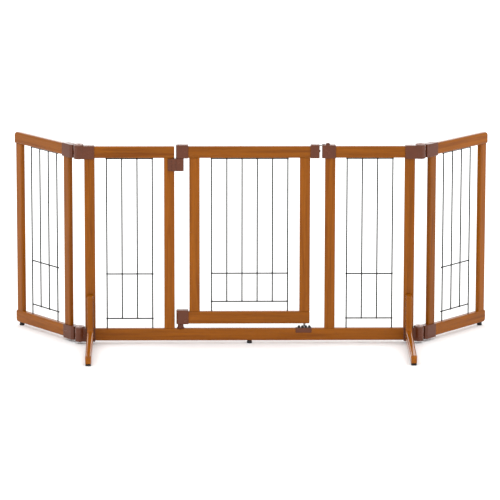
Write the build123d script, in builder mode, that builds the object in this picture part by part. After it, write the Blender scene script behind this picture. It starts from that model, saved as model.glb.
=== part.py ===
from build123d import *
from math import cos, sin, radians
import os

os.makedirs("parts", exist_ok=True)

# ---- driving dimensions (mm), floor at z = 0, front of the gate faces -Y ----
GATE_H = 510.0        # top of the rails above the floor
RAIL_T = 18.0         # rail thickness, front to back
RAIL_H = 30.0         # rail height
RAIL_R = 5.0          # rounding along the rails
END_R = 3.0           # rounding of the rail ends
POST_W = 26.6         # post width
POST_T = 12.5         # post thickness
POST_R = 4.0          # rounding along the posts
SILL_Z0 = 8.0         # underside of the sill
SILL_H = 31.5
DOOR_Z0 = 51.5        # underside of the door
DOOR_RAIL_H = 32.0
OUTER_X = 418.5       # outer edge of the fixed part
INNER_X = 217.0       # outer edge of the posts beside the door
STILE_X = 153.2       # outer edge of the door stiles

WIRE_D = 3.2
WIRE_PITCH = 38.6
WIRE_IN = 8.0         # how far a wire goes into the wood
BORE_GAP = 0.05       # radial gap round wires, dowels and screws
CROSS_Y = 2.6         # cross wires lie this far behind the upright ones
CROSS_OVER = 2.5      # cross wires end this far past the outer upright ones
CROSS_LOW = 24.6      # lower cross wire above the bottom rail
PANEL_CROSS_HIGH = 179.8
DOOR_CROSS_HIGH = 181.2
TOP_WIRE_DROP = 2.4   # top cross wire below the top rail

DOWEL_D = 7.0
DOWEL_IN = 14.0       # dowel depth on each side of a joint

WALL = 2.0            # wall of the plastic sleeves
SLEEVE_L = 27.5       # sleeve length over a rail end
SLEEVE_R = 3.0        # rounding of the sleeves
DRUM_R = 13.5         # round drum of the wing hinges
AXIS_OUT = 13.0       # hinge axis beyond the end of the fixed part
AXIS_X = OUTER_X + AXIS_OUT
EYE_H = 10.0          # height of the wing's eye in the drum
EYE_GAP = 0.4         # play above and below the eye
EYE_R = 10.5
EYE_SLOT_R = 11.0
ARM_W = 10.0          # width of the arm between eye and sleeve
ARM_SLOT = 5.6        # half width of the opening it turns in
HINGE_PIN_R = 3.0
DISC_R = 11.8         # disc head of a wing-hinge pin
DISC_H = 3.0

WING_W = 245.0        # wing width
WING_START = 36.0     # hinge axis to the wing's inner end
NECK_START = 18.0     # the neck of the wing's sleeve begins here
NECK_FULL = 26.0      # and has its full width here
NECK_HALF = 8.0
WING_OVER = 3.0       # rails stand past the outer post
FOLD = {"left": 54.0, "right": 50.0}   # wings folded back from straight, degrees
FOLD_MAX = 118.0                       # furthest fold, degrees from straight

DOOR_AXIS_X = -175.5
CAP_TOP = 4.0         # door caps stand above the rail
CAP_CORNER = 6.0
DOOR_PIN_R = 3.0
BUSH_R = 5.0
PIN_GAP = 0.08        # radial running gap of the turning fits
PIN_CONE_Z = 46.5     # the latch pin's cone starts here and points down

LEG_W = 16.0
LEG_REACH = 262.0
LEG_TOP = 128.0
PAD_H = 4.0
FOOT_R = 6.5
SCREW_R = 1.3
SCREW_IN = 9.0            # small screws go this far into the wood
SKIRT_Z = 28.0            # lower edge of the saddles on the sill
SADDLE_T = 1.5
BOLT_Z = (74.0, 108.0)    # leg bolts above the floor
BOLT_R = 2.0

sill_top = SILL_Z0 + SILL_H
rail_z0 = GATE_H - RAIL_H
door_rail_top = DOOR_Z0 + DOOR_RAIL_H
post_len = rail_z0 - sill_top
panel_mid = (OUTER_X + INNER_X - POST_W) / 2

CENTRE = Plane(origin=(0, 0, 0), x_dir=(1, 0, 0), z_dir=(0, 0, 1))


def wing_plane(side):
    """Frame of a wing: origin on the hinge axis, x along the wing."""
    sign = -1 if side == "left" else 1
    turn = radians(FOLD[side])
    return Plane(origin=(sign * AXIS_X, 0, 0),
                 x_dir=(sign * cos(turn), sin(turn), 0), z_dir=(0, 0, 1))


def behind(base):
    """+1 where the frame's y points to the back of the gate, else -1."""
    return 1 if base.y_dir.Y > 0 else -1


def across(base, u):
    """Plane at distance u along the frame, its z along the frame's x, its y up."""
    return Plane(origin=base.from_local_coords((u, 0, 0)), x_dir=base.y_dir, z_dir=base.x_dir)


def level(base, z):
    """Horizontal plane of the frame at height z."""
    return Plane(origin=base.from_local_coords((0, 0, z)), x_dir=base.x_dir, z_dir=(0, 0, 1))


def save(part, name):
    part.label = name
    export_step(part, f"parts/{name}.step")


def make_rail(name, base, u0, u1, z0, height, up_bores, low_bores, dowels_low, dowels_up,
              cut_bores=(), back_bores=()):
    """A rounded wooden rail with bores for wires and dowels in its lower or upper face."""
    with BuildPart() as rail:
        with BuildSketch(across(base, u0)):
            with Locations((0, z0 + height / 2)):
                RectangleRounded(RAIL_T, height, RAIL_R)
        extrude(amount=u1 - u0)
        ends = rail.faces().sort_by(Axis(base.origin, base.x_dir))
        fillet(ends[0].edges() + ends[-1].edges(), END_R)
        if low_bores:
            with BuildSketch(level(base, z0)):
                with Locations(*[(u, 0) for u in low_bores]):
                    Circle(WIRE_D / 2 + BORE_GAP)
            extrude(amount=WIRE_IN, mode=Mode.SUBTRACT)
        if up_bores:
            with BuildSketch(level(base, z0 + height)):
                with Locations(*[(u, 0) for u in up_bores]):
                    Circle(WIRE_D / 2 + BORE_GAP)
            extrude(amount=-WIRE_IN, mode=Mode.SUBTRACT)
        if dowels_low:
            with BuildSketch(level(base, z0)):
                with Locations(*[(u, 0) for u in dowels_low]):
                    Circle(DOWEL_D / 2 + BORE_GAP)
            extrude(amount=DOWEL_IN, mode=Mode.SUBTRACT)
        if dowels_up:
            with BuildSketch(level(base, z0 + height)):
                with Locations(*[(u, 0) for u in dowels_up]):
                    Circle(DOWEL_D / 2 + BORE_GAP)
            extrude(amount=-DOWEL_IN, mode=Mode.SUBTRACT)
        for (u, v, radius, start, end) in cut_bores:
            with BuildSketch(level(base, start)):
                with Locations((u, v)):
                    Circle(radius)
            extrude(amount=end - start, mode=Mode.SUBTRACT)
        if back_bores:
            with BuildSketch(Plane.XZ.offset(-RAIL_T / 2)):
                with Locations(*back_bores):
                    Circle(SCREW_R + BORE_GAP)
            extrude(amount=SCREW_IN, mode=Mode.SUBTRACT)
    save(rail.part, name)


def make_post(name, base, u_mid, z0, z1, bolt_spots=(), back_bores=()):
    """A rounded post with dowel bores in its ends."""
    with BuildPart() as post:
        with BuildSketch(level(base, z0)):
            with Locations((u_mid, 0)):
                RectangleRounded(POST_W, POST_T, POST_R)
        extrude(amount=z1 - z0)
        for z, way in ((z0, 1), (z1, -1)):
            with BuildSketch(level(base, z)):
                with Locations((u_mid, 0)):
                    Circle(DOWEL_D / 2 + BORE_GAP)
            extrude(amount=way * DOWEL_IN, mode=Mode.SUBTRACT)
        if bolt_spots:
            with BuildSketch(Plane.XZ.offset(-POST_T)):
                with Locations(*bolt_spots):
                    Circle(BOLT_R + BORE_GAP)
            extrude(amount=2 * POST_T, mode=Mode.SUBTRACT)
        if back_bores:
            with BuildSketch(Plane.XZ.offset(-POST_T / 2)):
                with Locations(*back_bores):
                    Circle(SCREW_R + BORE_GAP)
            extrude(amount=SCREW_IN, mode=Mode.SUBTRACT)
    save(post.part, name)


def make_grid(name, base, wires, z_low, z_top, cross_heights):
    """Welded wire grid: the outer wires reach the bottom rail, the rest end at a cross wire."""
    with BuildPart() as grid:
        for index, u in enumerate(wires):
            outer = index in (0, len(wires) - 1)
            start = z_low - WIRE_IN if outer else cross_heights[0]
            with BuildSketch(level(base, start)):
                with Locations((u, 0)):
                    Circle(WIRE_D / 2)
            extrude(amount=z_top + WIRE_IN - start)
        with BuildSketch(across(base, wires[0] - CROSS_OVER)):
            with Locations(*[(behind(base) * CROSS_Y, z) for z in cross_heights]):
                Circle(WIRE_D / 2)
        extrude(amount=wires[-1] - wires[0] + 2 * CROSS_OVER)
    save(grid.part, name)


def make_dowels(name, base, spots):
    """Hidden beech dowels; each spot is (distance along the frame, joint height)."""
    with BuildPart() as dowels:
        for u, z in spots:
            with BuildSketch(level(base, z - DOWEL_IN)):
                with Locations((u, 0)):
                    Circle(DOWEL_D / 2)
            extrude(amount=2 * DOWEL_IN)
    save(dowels.part, name)


# ---- fixed frame: sill, top rails, posts, wires ----
panel_cross = [sill_top + CROSS_LOW, PANEL_CROSS_HIGH, rail_z0 - TOP_WIRE_DROP]
outer_mid = OUTER_X - POST_W / 2
inner_mid = INNER_X - POST_W / 2
leg_mid = outer_mid       # the legs stand in the middle of the outer posts
panel_wires = [panel_mid + (i - 1.5) * WIRE_PITCH for i in range(4)]
sill_wires = [s * w for s in (-1, 1) for w in (panel_wires[0], panel_wires[-1])]
posts_x = [-outer_mid, -inner_mid, inner_mid, outer_mid]

saddle_screws = [(x, 31.5) for x in (-184.0, -152.0, 122.0, 153.5)]
post_screws = [(-200.0, 452.5), (-200.0, 462.5)]
knob_x = 197.5

make_rail("sill_rail", CENTRE, -OUTER_X, OUTER_X, SILL_Z0, SILL_H,
          sill_wires, [], [], posts_x, [], saddle_screws)
for side, sign in (("left", -1), ("right", 1)):
    x_a, x_b = sorted((sign * OUTER_X, sign * (INNER_X - POST_W)))
    knob_bore = [(knob_x, 0, BOLT_R + BORE_GAP, GATE_H - 15, GATE_H)] if side == "right" else []
    make_rail(f"{side}_top_rail", CENTRE, x_a, x_b, rail_z0, RAIL_H,
              [], [sign * w for w in panel_wires], [sign * outer_mid, sign * inner_mid], [],
              knob_bore)
    make_post(f"{side}_outer_post", CENTRE, sign * outer_mid, sill_top, rail_z0,
              [(sign * leg_mid, z) for z in BOLT_Z])
    make_post(f"{side}_inner_post", CENTRE, sign * inner_mid, sill_top, rail_z0,
              [], post_screws if side == "left" else [])
    make_grid(f"{side}_wire_grid", CENTRE, sorted(sign * w for w in panel_wires),
              sill_top, rail_z0, panel_cross)
make_dowels("frame_dowels", CENTRE,
            [(x, z) for x in posts_x for z in (sill_top, rail_z0)])

# ---- centre foot under the sill ----
with BuildPart() as centre_foot:
    with BuildSketch(Plane.XY):
        Circle(FOOT_R)
    extrude(amount=SILL_Z0)
    fillet(centre_foot.edges().sort_by(Axis.Z)[0], 1.0)
save(centre_foot.part, "centre_foot")

# ---- support legs: upright on the post, then forward and down to the floor ----
leg_back = -POST_T / 2                    # the leg lies on the post
leg_low_back = -(RAIL_T / 2 + WALL)       # and on the hinge sleeve lower down
upright_t = 25.0                          # depth of the upright part
bend_z = 36.0
for side, sign in (("left", -1), ("right", 1)):
    leg_x = sign * leg_mid
    with BuildPart() as leg:
        with BuildSketch(Plane.YZ.offset(leg_x - LEG_W / 2)) as leg_side:
            with BuildLine():
                Polyline(
                    (leg_back, LEG_TOP),
                    (leg_back, sill_top + WALL + 0.5),
                    (leg_low_back, sill_top + WALL + 0.5),
                    (leg_low_back, SILL_Z0 + 2),
                    (-LEG_REACH + 22, PAD_H),
                    (-LEG_REACH, PAD_H),
                    (-LEG_REACH, PAD_H + 20),
                    (leg_back - upright_t, bend_z),
                    (leg_back - upright_t, LEG_TOP),
                    close=True,
                )
            make_face()
            fillet(leg_side.vertices().sort_by_distance((-LEG_REACH, PAD_H + 20))[0], 8)
            fillet(leg_side.vertices().sort_by_distance((-LEG_REACH, PAD_H))[0], 3)
            fillet(leg_side.vertices().sort_by_distance((leg_back - upright_t, LEG_TOP))[0], 9)
            fillet(leg_side.vertices().sort_by_distance((leg_back - upright_t, bend_z))[0], 16)
        extrude(amount=LEG_W)
        with BuildSketch(Plane.XZ.offset(-leg_back)):
            with Locations(*[(leg_x, z) for z in BOLT_Z]):
                Circle(BOLT_R + BORE_GAP)
        extrude(amount=12, mode=Mode.SUBTRACT)
    save(leg.part, f"{side}_support_leg")
    with BuildPart() as pad:
        with BuildSketch(Plane.XY):
            with Locations((leg_x, -LEG_REACH + 12.5)):
                RectangleRounded(LEG_W - 2, 18, 4)
        extrude(amount=PAD_H)
    save(pad.part, f"{side}_leg_pad")

with BuildPart() as leg_bolts:
    for sign in (-1, 1):
        with BuildSketch(Plane.XZ.offset(-POST_T / 2)):
            with Locations(*[(sign * leg_mid, z) for z in BOLT_Z]):
                Circle(BOLT_R)
        extrude(amount=POST_T + 12)
        with BuildSketch(Plane.XZ.offset(-POST_T / 2)):
            with Locations(*[(sign * leg_mid, z) for z in BOLT_Z]):
                Circle(BOLT_R * 2)
        extrude(amount=-2.5)
save(leg_bolts.part, "leg_bolts")

# ---- wing hinges on the fixed frame: sleeve and drum in one moulding, pin with a disc head ----
levels = {"bottom": (SILL_Z0, sill_top), "top": (rail_z0, GATE_H)}
for side, sign in (("left", -1), ("right", 1)):
    for place, (z0, z1) in levels.items():
        mid_z = (z0 + z1) / 2
        low = z0 - WALL
        high = z1 + WALL
        inner_end = OUTER_X - SLEEVE_L + WALL
        with BuildPart() as bracket:
            with BuildSketch(Plane.XY.offset(low)):
                with Locations((sign * AXIS_X, 0)):
                    Circle(DRUM_R)
            extrude(amount=high - low)
            with BuildSketch(Plane.YZ.offset(sign * inner_end)):
                with Locations((0, mid_z)):
                    RectangleRounded(RAIL_T + 2 * WALL, high - low, SLEEVE_R)
            extrude(amount=sign * (AXIS_X - 4 - inner_end))
            # hollow for the rail end and, above or below it, the post
            with BuildSketch(Plane.YZ.offset(sign * (inner_end - 1))):
                with Locations((0, mid_z)):
                    RectangleRounded(RAIL_T, z1 - z0, RAIL_R)
            extrude(amount=sign * (OUTER_X - inner_end + 1), mode=Mode.SUBTRACT)
            post_side = 1 if place == "bottom" else -1
            with BuildSketch(Plane.XY.offset(mid_z)):
                with Locations((sign * (outer_mid - 1), 0)):
                    Rectangle(POST_W + 2, POST_T + 0.2)
            extrude(amount=post_side * (high - low), mode=Mode.SUBTRACT)
            # pocket for the wing's eye, closed at the front, open outwards and to the back
            with BuildSketch(Plane.XY.offset(mid_z - EYE_H / 2 - EYE_GAP)):
                with Locations((sign * AXIS_X, 0)):
                    Circle(DRUM_R + 1)
                with Locations((sign * AXIS_X, -ARM_SLOT - 20)):
                    Rectangle(60, 40, mode=Mode.SUBTRACT)
                with Locations((sign * (AXIS_X - EYE_SLOT_R - 20), 0)):
                    Rectangle(40, 60, mode=Mode.SUBTRACT)
                with Locations((sign * AXIS_X, 0)):
                    Circle(EYE_SLOT_R)
                angle = FOLD_MAX if sign > 0 else 180 - FOLD_MAX
                with Locations(Location((sign * AXIS_X, 0, 0), (0, 0, angle))):
                    Rectangle(30, 2 * ARM_SLOT, align=(Align.MIN, Align.CENTER))
            extrude(amount=EYE_H + 2 * EYE_GAP, mode=Mode.SUBTRACT)
            with BuildSketch(Plane.XY.offset(low - 1)):
                with Locations((sign * AXIS_X, 0)):
                    Circle(HINGE_PIN_R + BORE_GAP)
            extrude(amount=high - low + 2, mode=Mode.SUBTRACT)
        save(bracket.part, f"{side}_hinge_bracket_{place}")
    with BuildPart() as pins:
        for place, (z0, z1) in levels.items():
            with BuildSketch(Plane.XY.offset(z0 - WALL)):
                with Locations((sign * AXIS_X, 0)):
                    Circle(HINGE_PIN_R)
            extrude(amount=z1 - z0 + 2 * WALL)
            with BuildSketch(Plane.XY.offset(z1 + WALL)):
                with Locations((sign * AXIS_X, 0)):
                    Circle(DISC_R)
            extrude(amount=DISC_H)
            fillet(pins.edges().group_by(Axis.Z)[-1], 1.5)
    save(pins.part, f"{side}_hinge_pins")

# ---- wings ----
wing_u0 = WING_START
wing_u1 = WING_START + WING_W
wing_mid = (wing_u0 + wing_u1) / 2
wing_posts = [wing_u0 + POST_W / 2, wing_u1 - POST_W / 2]
wing_wires = [wing_mid + (i - 1.5) * WIRE_PITCH for i in range(4)]
for side in ("left", "right"):
    base = wing_plane(side)
    make_rail(f"{side}_wing_top_rail", base, wing_u0, wing_u1 + WING_OVER, rail_z0, RAIL_H,
              [], wing_wires, wing_posts, [])
    make_rail(f"{side}_wing_bottom_rail", base, wing_u0, wing_u1 + WING_OVER, SILL_Z0, SILL_H,
              [wing_wires[0], wing_wires[-1]], [], [], wing_posts)
    make_post(f"{side}_wing_inner_post", base, wing_posts[0], sill_top, rail_z0)
    make_post(f"{side}_wing_outer_post", base, wing_posts[1], sill_top, rail_z0)
    make_grid(f"{side}_wing_wire_grid", base, wing_wires, sill_top, rail_z0,
              panel_cross)
    make_dowels(f"{side}_wing_dowels", base,
                [(u, z) for u in wing_posts for z in (sill_top, rail_z0)])
    with BuildPart() as foot:
        with BuildSketch(level(base, 0)):
            with Locations((wing_posts[1], 0)):
                Circle(FOOT_R)
        extrude(amount=SILL_Z0)
        fillet(foot.edges().sort_by(Axis.Z)[0], 1.0)
    save(foot.part, f"{side}_wing_foot")
    for place, (z0, z1) in levels.items():
        mid_z = (z0 + z1) / 2
        with BuildPart() as arm:
            # sleeve over the rail end
            with BuildSketch(across(base, wing_u0 - WALL)):
                with Locations((0, mid_z)):
                    RectangleRounded(RAIL_T + 2 * WALL, z1 - z0 + 2 * WALL, SLEEVE_R)
            extrude(amount=SLEEVE_L)
            with BuildSketch(across(base, wing_u0)):
                with Locations((0, mid_z)):
                    RectangleRounded(RAIL_T, z1 - z0, RAIL_R)
            extrude(amount=SLEEVE_L, mode=Mode.SUBTRACT)
            post_side = 1 if place == "bottom" else -1
            with BuildSketch(level(base, mid_z)):
                with Locations((wing_posts[0] + 1, 0)):
                    Rectangle(POST_W + 2, POST_T + 0.2)
            extrude(amount=post_side * (z1 - z0), mode=Mode.SUBTRACT)
            # neck towards the drum, narrower at its tip
            with BuildSketch(level(base, z0 - WALL)):
                with BuildLine():
                    Polyline((NECK_START, -NECK_HALF), (NECK_START, NECK_HALF),
                             (NECK_FULL, RAIL_T / 2 + WALL - 0.2),
                             (wing_u0 - 1, RAIL_T / 2 + WALL - 0.2),
                             (wing_u0 - 1, -RAIL_T / 2 - WALL + 0.2),
                             (NECK_FULL, -RAIL_T / 2 - WALL + 0.2), close=True)
                make_face()
            extrude(amount=z1 - z0 + 2 * WALL)
            # arm with the eye that sits in the drum
            with BuildSketch(level(base, mid_z - EYE_H / 2)):
                Circle(EYE_R)
                with Locations(((wing_u0 - WALL) / 2, 0)):
                    Rectangle(wing_u0 - WALL, ARM_W)
            extrude(amount=EYE_H)
            with BuildSketch(level(base, mid_z - EYE_H)):
                Circle(HINGE_PIN_R + PIN_GAP)
            extrude(amount=2 * EYE_H, mode=Mode.SUBTRACT)
        save(arm.part, f"{side}_wing_hinge_arm_{place}")

# ---- door ----
door_wires = [(i - 2.5) * WIRE_PITCH for i in range(6)]
door_cross = [door_rail_top + CROSS_LOW, DOOR_CROSS_HIGH, rail_z0 - TOP_WIRE_DROP]
stile_mid = STILE_X - POST_W / 2
rail_in = DOOR_AXIS_X + 8.0           # hinge end of the door rails, inside the caps
top_rail_end = 172.0
hinge_cap_x0 = DOOR_AXIS_X - 11.0
hinge_cap_x1 = -155.5
make_rail("door_top_rail", CENTRE, rail_in, top_rail_end, rail_z0, RAIL_H,
          [], door_wires, [-stile_mid, stile_mid], [],
          [])
make_rail("door_bottom_rail", CENTRE, rail_in, STILE_X, DOOR_Z0, DOOR_RAIL_H,
          [door_wires[0], door_wires[-1]], [], [], [-stile_mid, stile_mid],
          [(stile_mid, 0, DOOR_PIN_R + BORE_GAP, DOOR_Z0, DOOR_Z0 + 14)])
make_post("door_left_stile", CENTRE, -stile_mid, door_rail_top, rail_z0)
make_post("door_right_stile", CENTRE, stile_mid, door_rail_top, rail_z0)
make_grid("door_wire_grid", CENTRE, door_wires, door_rail_top, rail_z0, door_cross)
make_dowels("door_dowels", CENTRE,
            [(x, z) for x in (-stile_mid, stile_mid) for z in (door_rail_top, rail_z0)])

bush_len = 22.0
door_levels = {"bottom": (DOOR_Z0, door_rail_top), "top": (rail_z0, GATE_H)}
for place, (z0, z1) in door_levels.items():
    with BuildPart() as cap:
        with BuildSketch(Plane.XY.offset(z0 - 0.5)):
            with Locations(((hinge_cap_x0 + hinge_cap_x1) / 2, 0)):
                Rectangle(hinge_cap_x1 - hinge_cap_x0, RAIL_T + 2 * WALL)
        extrude(amount=z1 - z0 + 0.5 + CAP_TOP)
        fillet(cap.edges().filter_by(Axis.Z).sort_by(Axis.X)[:2], CAP_CORNER)
        fillet(cap.faces().sort_by(Axis.Z)[-1].edges(), 2.5)
        with BuildSketch(Plane.YZ.offset(rail_in)):
            with Locations((0, (z0 + z1) / 2)):
                RectangleRounded(RAIL_T, z1 - z0, RAIL_R)
        extrude(amount=40, mode=Mode.SUBTRACT)
        with BuildSketch(Plane.XY.offset(z0 - 1)):
            with Locations((DOOR_AXIS_X, 0)):
                Circle(BUSH_R + PIN_GAP)
        extrude(amount=z1 - z0 - 1, mode=Mode.SUBTRACT)
    save(cap.part, f"door_hinge_cap_{place}")

# bushes that turn on the steel pins; the hinge caps slide up and down on them
with BuildPart() as bushes:
    for z0, z1 in door_levels.values():
        with BuildSketch(Plane.XY.offset(z0 - 0.5)):
            with Locations((DOOR_AXIS_X, 0)):
                Circle(BUSH_R)
                Circle(DOOR_PIN_R + PIN_GAP, mode=Mode.SUBTRACT)
        extrude(amount=bush_len)
save(bushes.part, "door_hinge_bushes")

# ---- door hinge parts on the fixed frame ----
# bracket on the left door post, just under the upper hinge cap
bracket_z = (447.0, 479.2)
bracket_x1 = -166.8
post_edge = -(INNER_X - POST_W)
with BuildPart() as door_bracket:
    with BuildSketch(Plane.XY.offset(bracket_z[0])):
        with Locations(((-197.0 + bracket_x1) / 2, 0)):
            Rectangle(bracket_x1 + 197.0, 2 * 10.5)
    extrude(amount=bracket_z[1] - bracket_z[0])
    fillet(door_bracket.edges().filter_by(Axis.Z).sort_by(Axis.X)[-2:], 5.0)
    fillet(door_bracket.edges().filter_by(Axis.Z).sort_by(Axis.X)[:2], 1.2)
    with BuildSketch(Plane.XY.offset(bracket_z[0] + 1)):
        with Locations(((-207.0 + post_edge) / 2, 0)):
            RectangleRounded(post_edge + 207.0, 2 * 9.0, 0.8)
    extrude(amount=bracket_z[1] - bracket_z[0] - 2)
    with BuildSketch(Plane.XY.offset(bracket_z[0] - 1)):
        with Locations((-inner_mid, 0)):
            RectangleRounded(POST_W, POST_T, POST_R)
    extrude(amount=60, mode=Mode.SUBTRACT)
    with BuildSketch(Plane.XZ.offset(-12)):
        with Locations(*post_screws):
            Circle(SCREW_R + BORE_GAP)
    extrude(amount=12, mode=Mode.SUBTRACT)
    with BuildSketch(Plane.XY.offset(bracket_z[0] + 3)):
        with Locations((DOOR_AXIS_X, 0)):
            Circle(DOOR_PIN_R)
    extrude(amount=60, mode=Mode.SUBTRACT)
save(door_bracket.part, "door_hinge_bracket")

saddle_mid_z = (SKIRT_Z + sill_top + SADDLE_T) / 2
with BuildPart() as hinge_base:
    with BuildSketch(Plane.YZ.offset(-188.5)):
        with Locations((0, saddle_mid_z)):
            Rectangle(RAIL_T + 2 * SADDLE_T, sill_top + SADDLE_T - SKIRT_Z)
    extrude(amount=40.5)
    fillet(hinge_base.edges().filter_by(Axis.X).group_by(Axis.Z)[-1], 5.5)
    with BuildSketch(Plane.XY.offset(sill_top - 2)):
        with Locations((DOOR_AXIS_X, 0)):
            Circle(8.6)
    extrude(amount=DOOR_Z0 - 0.8 - sill_top + 2, taper=7)
    with BuildSketch(Plane.YZ.offset(-200)):
        with Locations((0, SILL_Z0 + SILL_H / 2)):
            RectangleRounded(RAIL_T, SILL_H, RAIL_R)
    extrude(amount=60, mode=Mode.SUBTRACT)
    with BuildSketch(Plane.XZ.offset(-12)):
        with Locations(*saddle_screws[:2]):
            Circle(SCREW_R + BORE_GAP)
    extrude(amount=4, mode=Mode.SUBTRACT)
    with BuildSketch(Plane.XY.offset(sill_top - 1)):
        with Locations((DOOR_AXIS_X, 0)):
            Circle(DOOR_PIN_R)
    extrude(amount=20, mode=Mode.SUBTRACT)
save(hinge_base.part, "door_hinge_base")

with BuildPart() as door_pins:
    with BuildSketch(Plane.XY.offset(sill_top)):
        with Locations((DOOR_AXIS_X, 0)):
            Circle(DOOR_PIN_R)
    extrude(amount=DOOR_Z0 + 26.0 - sill_top)
    with BuildSketch(Plane.XY.offset(bracket_z[0] + 3)):
        with Locations((DOOR_AXIS_X, 0)):
            Circle(DOOR_PIN_R)
    extrude(amount=505.0 - bracket_z[0] - 3)
    chamfer(door_pins.edges().filter_by(GeomType.CIRCLE).sort_by(Axis.Z)[-1], 0.8)
save(door_pins.part, "door_hinge_pins")

# ---- latch: toothed block on the sill, keeper on the right door post ----
tooth_x = [126.4, 135.2, 144.0, 152.8]
with BuildPart() as latch_block:
    with BuildSketch(Plane.YZ.offset(117.5)):
        with Locations((0, saddle_mid_z)):
            Rectangle(RAIL_T + 2 * SADDLE_T, sill_top + SADDLE_T - SKIRT_Z)
    extrude(amount=40.7)
    fillet(latch_block.edges().filter_by(Axis.X).group_by(Axis.Z)[-1], 5.5)
    with BuildSketch(Plane.YZ.offset(100)):
        with Locations((0, SILL_Z0 + SILL_H / 2)):
            RectangleRounded(RAIL_T, SILL_H, RAIL_R)
    extrude(amount=80, mode=Mode.SUBTRACT)
    with BuildSketch(Plane.XY.offset(sill_top + SADDLE_T - 0.5)):
        with Locations(*[(x, y) for x in tooth_x for y in (-4.5, 4.5)]):
            Circle(3.4)
    extrude(amount=4.2, taper=16)
    fillet(latch_block.edges().group_by(Axis.Z)[-1], 0.9)
    with BuildSketch(Plane.XZ.offset(-12)):
        with Locations(*saddle_screws[2:]):
            Circle(SCREW_R + BORE_GAP)
    extrude(amount=4, mode=Mode.SUBTRACT)
save(latch_block.part, "sill_latch_block")

keeper_x0 = 182.7
keeper_x1 = 217.3
rail_start = INNER_X - POST_W
with BuildPart() as keeper:
    with BuildSketch(Plane.XY.offset(rail_z0 - 0.5)):
        with Locations(((keeper_x0 + keeper_x1) / 2, 0)):
            Rectangle(keeper_x1 - keeper_x0, RAIL_T + 2 * WALL)
    extrude(amount=34.0)
    fillet(keeper.edges().filter_by(Axis.Z).sort_by(Axis.X)[:2], 3.0)
    fillet(keeper.faces().sort_by(Axis.Z)[-1].edges(), 2.0)
    with BuildSketch(Plane.YZ.offset(rail_start)):
        with Locations((0, GATE_H - RAIL_H / 2)):
            RectangleRounded(RAIL_T, RAIL_H, RAIL_R)
    extrude(amount=40, mode=Mode.SUBTRACT)
    with BuildSketch(Plane.XY.offset(rail_z0 - 1)):
        with Locations((inner_mid, 0)):
            RectangleRounded(POST_W, POST_T, POST_R)
    extrude(amount=10, mode=Mode.SUBTRACT)
    # slot for the door's tongue, open at the top
    with BuildSketch(Plane.XY.offset(GATE_H - 0.4)):
        with Locations((keeper_x0 + 3, 0)):
            Rectangle(8.6, 12.0)
    extrude(amount=10, mode=Mode.SUBTRACT)
    with BuildSketch(Plane.XY.offset(GATE_H - 1)):
        with Locations((knob_x, 0)):
            Circle(BOLT_R + BORE_GAP)
    extrude(amount=10, mode=Mode.SUBTRACT)
save(keeper.part, "latch_keeper")

with BuildPart() as knob:
    with BuildSketch(Plane.XY.offset(GATE_H + 3.5)):
        with Locations((knob_x, 0)):
            Circle(5.6)
    extrude(amount=4.2)
    fillet(knob.edges().group_by(Axis.Z)[-1], 3.4)
    with BuildSketch(Plane.XY.offset(GATE_H - 15)):
        with Locations((knob_x, 0)):
            Circle(BOLT_R)
    extrude(amount=18.5)
save(knob.part, "keeper_knob")

with BuildPart() as frame_screws:
    spots = [(x, RAIL_T / 2 + SADDLE_T, z) for x, z in saddle_screws]
    spots = spots + [(x, 9.0, z) for x, z in post_screws]
    for x, face_y, z in spots:
        with BuildSketch(Plane.XZ.offset(-face_y)):
            with Locations((x, z)):
                Circle(SCREW_R)
        extrude(amount=SCREW_IN)
        with BuildSketch(Plane.XZ.offset(-face_y)):
            with Locations((x, z)):
                Circle(2.7)
        extrude(amount=-1.6)
save(frame_screws.part, "frame_screws")

# ---- latch parts on the door ----
cap_x0 = 153.5
cap_x1 = 176.7
with BuildPart() as latch_cap:
    with BuildSketch(Plane.XY.offset(rail_z0 - 0.5)):
        with Locations(((cap_x0 + cap_x1) / 2, 0)):
            Rectangle(cap_x1 - cap_x0, RAIL_T + 2 * WALL)
    extrude(amount=RAIL_H + 0.5 + CAP_TOP)
    fillet(latch_cap.edges().filter_by(Axis.Z).sort_by(Axis.X)[-2:], 3.0)
    fillet(latch_cap.faces().sort_by(Axis.Z)[-1].edges(), 2.5)
    with BuildSketch(Plane.YZ.offset(top_rail_end)):
        with Locations((0, GATE_H - RAIL_H / 2)):
            RectangleRounded(RAIL_T, RAIL_H, RAIL_R)
    extrude(amount=-40, mode=Mode.SUBTRACT)
    with BuildSketch(Plane.XY.offset(GATE_H)):
        with Locations((175.0, 0)):
            Rectangle(30.0, 10.0)
    extrude(amount=2.4, mode=Mode.SUBTRACT)
    with BuildSketch(Plane.YZ.offset(cap_x1)):
        with Locations((0, 497.0)):
            Circle(1.5)
    extrude(amount=-3.5, mode=Mode.SUBTRACT)
save(latch_cap.part, "door_latch_cap")

with BuildPart() as tongue:
    with BuildSketch(Plane.XY.offset(GATE_H)):
        with Locations((174.25, 0)):
            Rectangle(28.5, 10.0)
    extrude(amount=2.4)
    fillet(tongue.edges().filter_by(Axis.Z).sort_by(Axis.X)[-2:], 2.5)
save(tongue.part, "door_latch_tongue")

with BuildPart() as buffer:
    with BuildSketch(Plane.YZ.offset(cap_x1 - 3.5)):
        with Locations((0, 497.0)):
            Circle(1.5)
    extrude(amount=3.5)
    with BuildSketch(Plane.YZ.offset(cap_x1)):
        with Locations((0, 497.0)):
            Circle(2.6)
    extrude(amount=2.6)
    fillet(buffer.edges().group_by(Axis.X)[-1], 1.6)
save(buffer.part, "door_latch_buffer")

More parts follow.
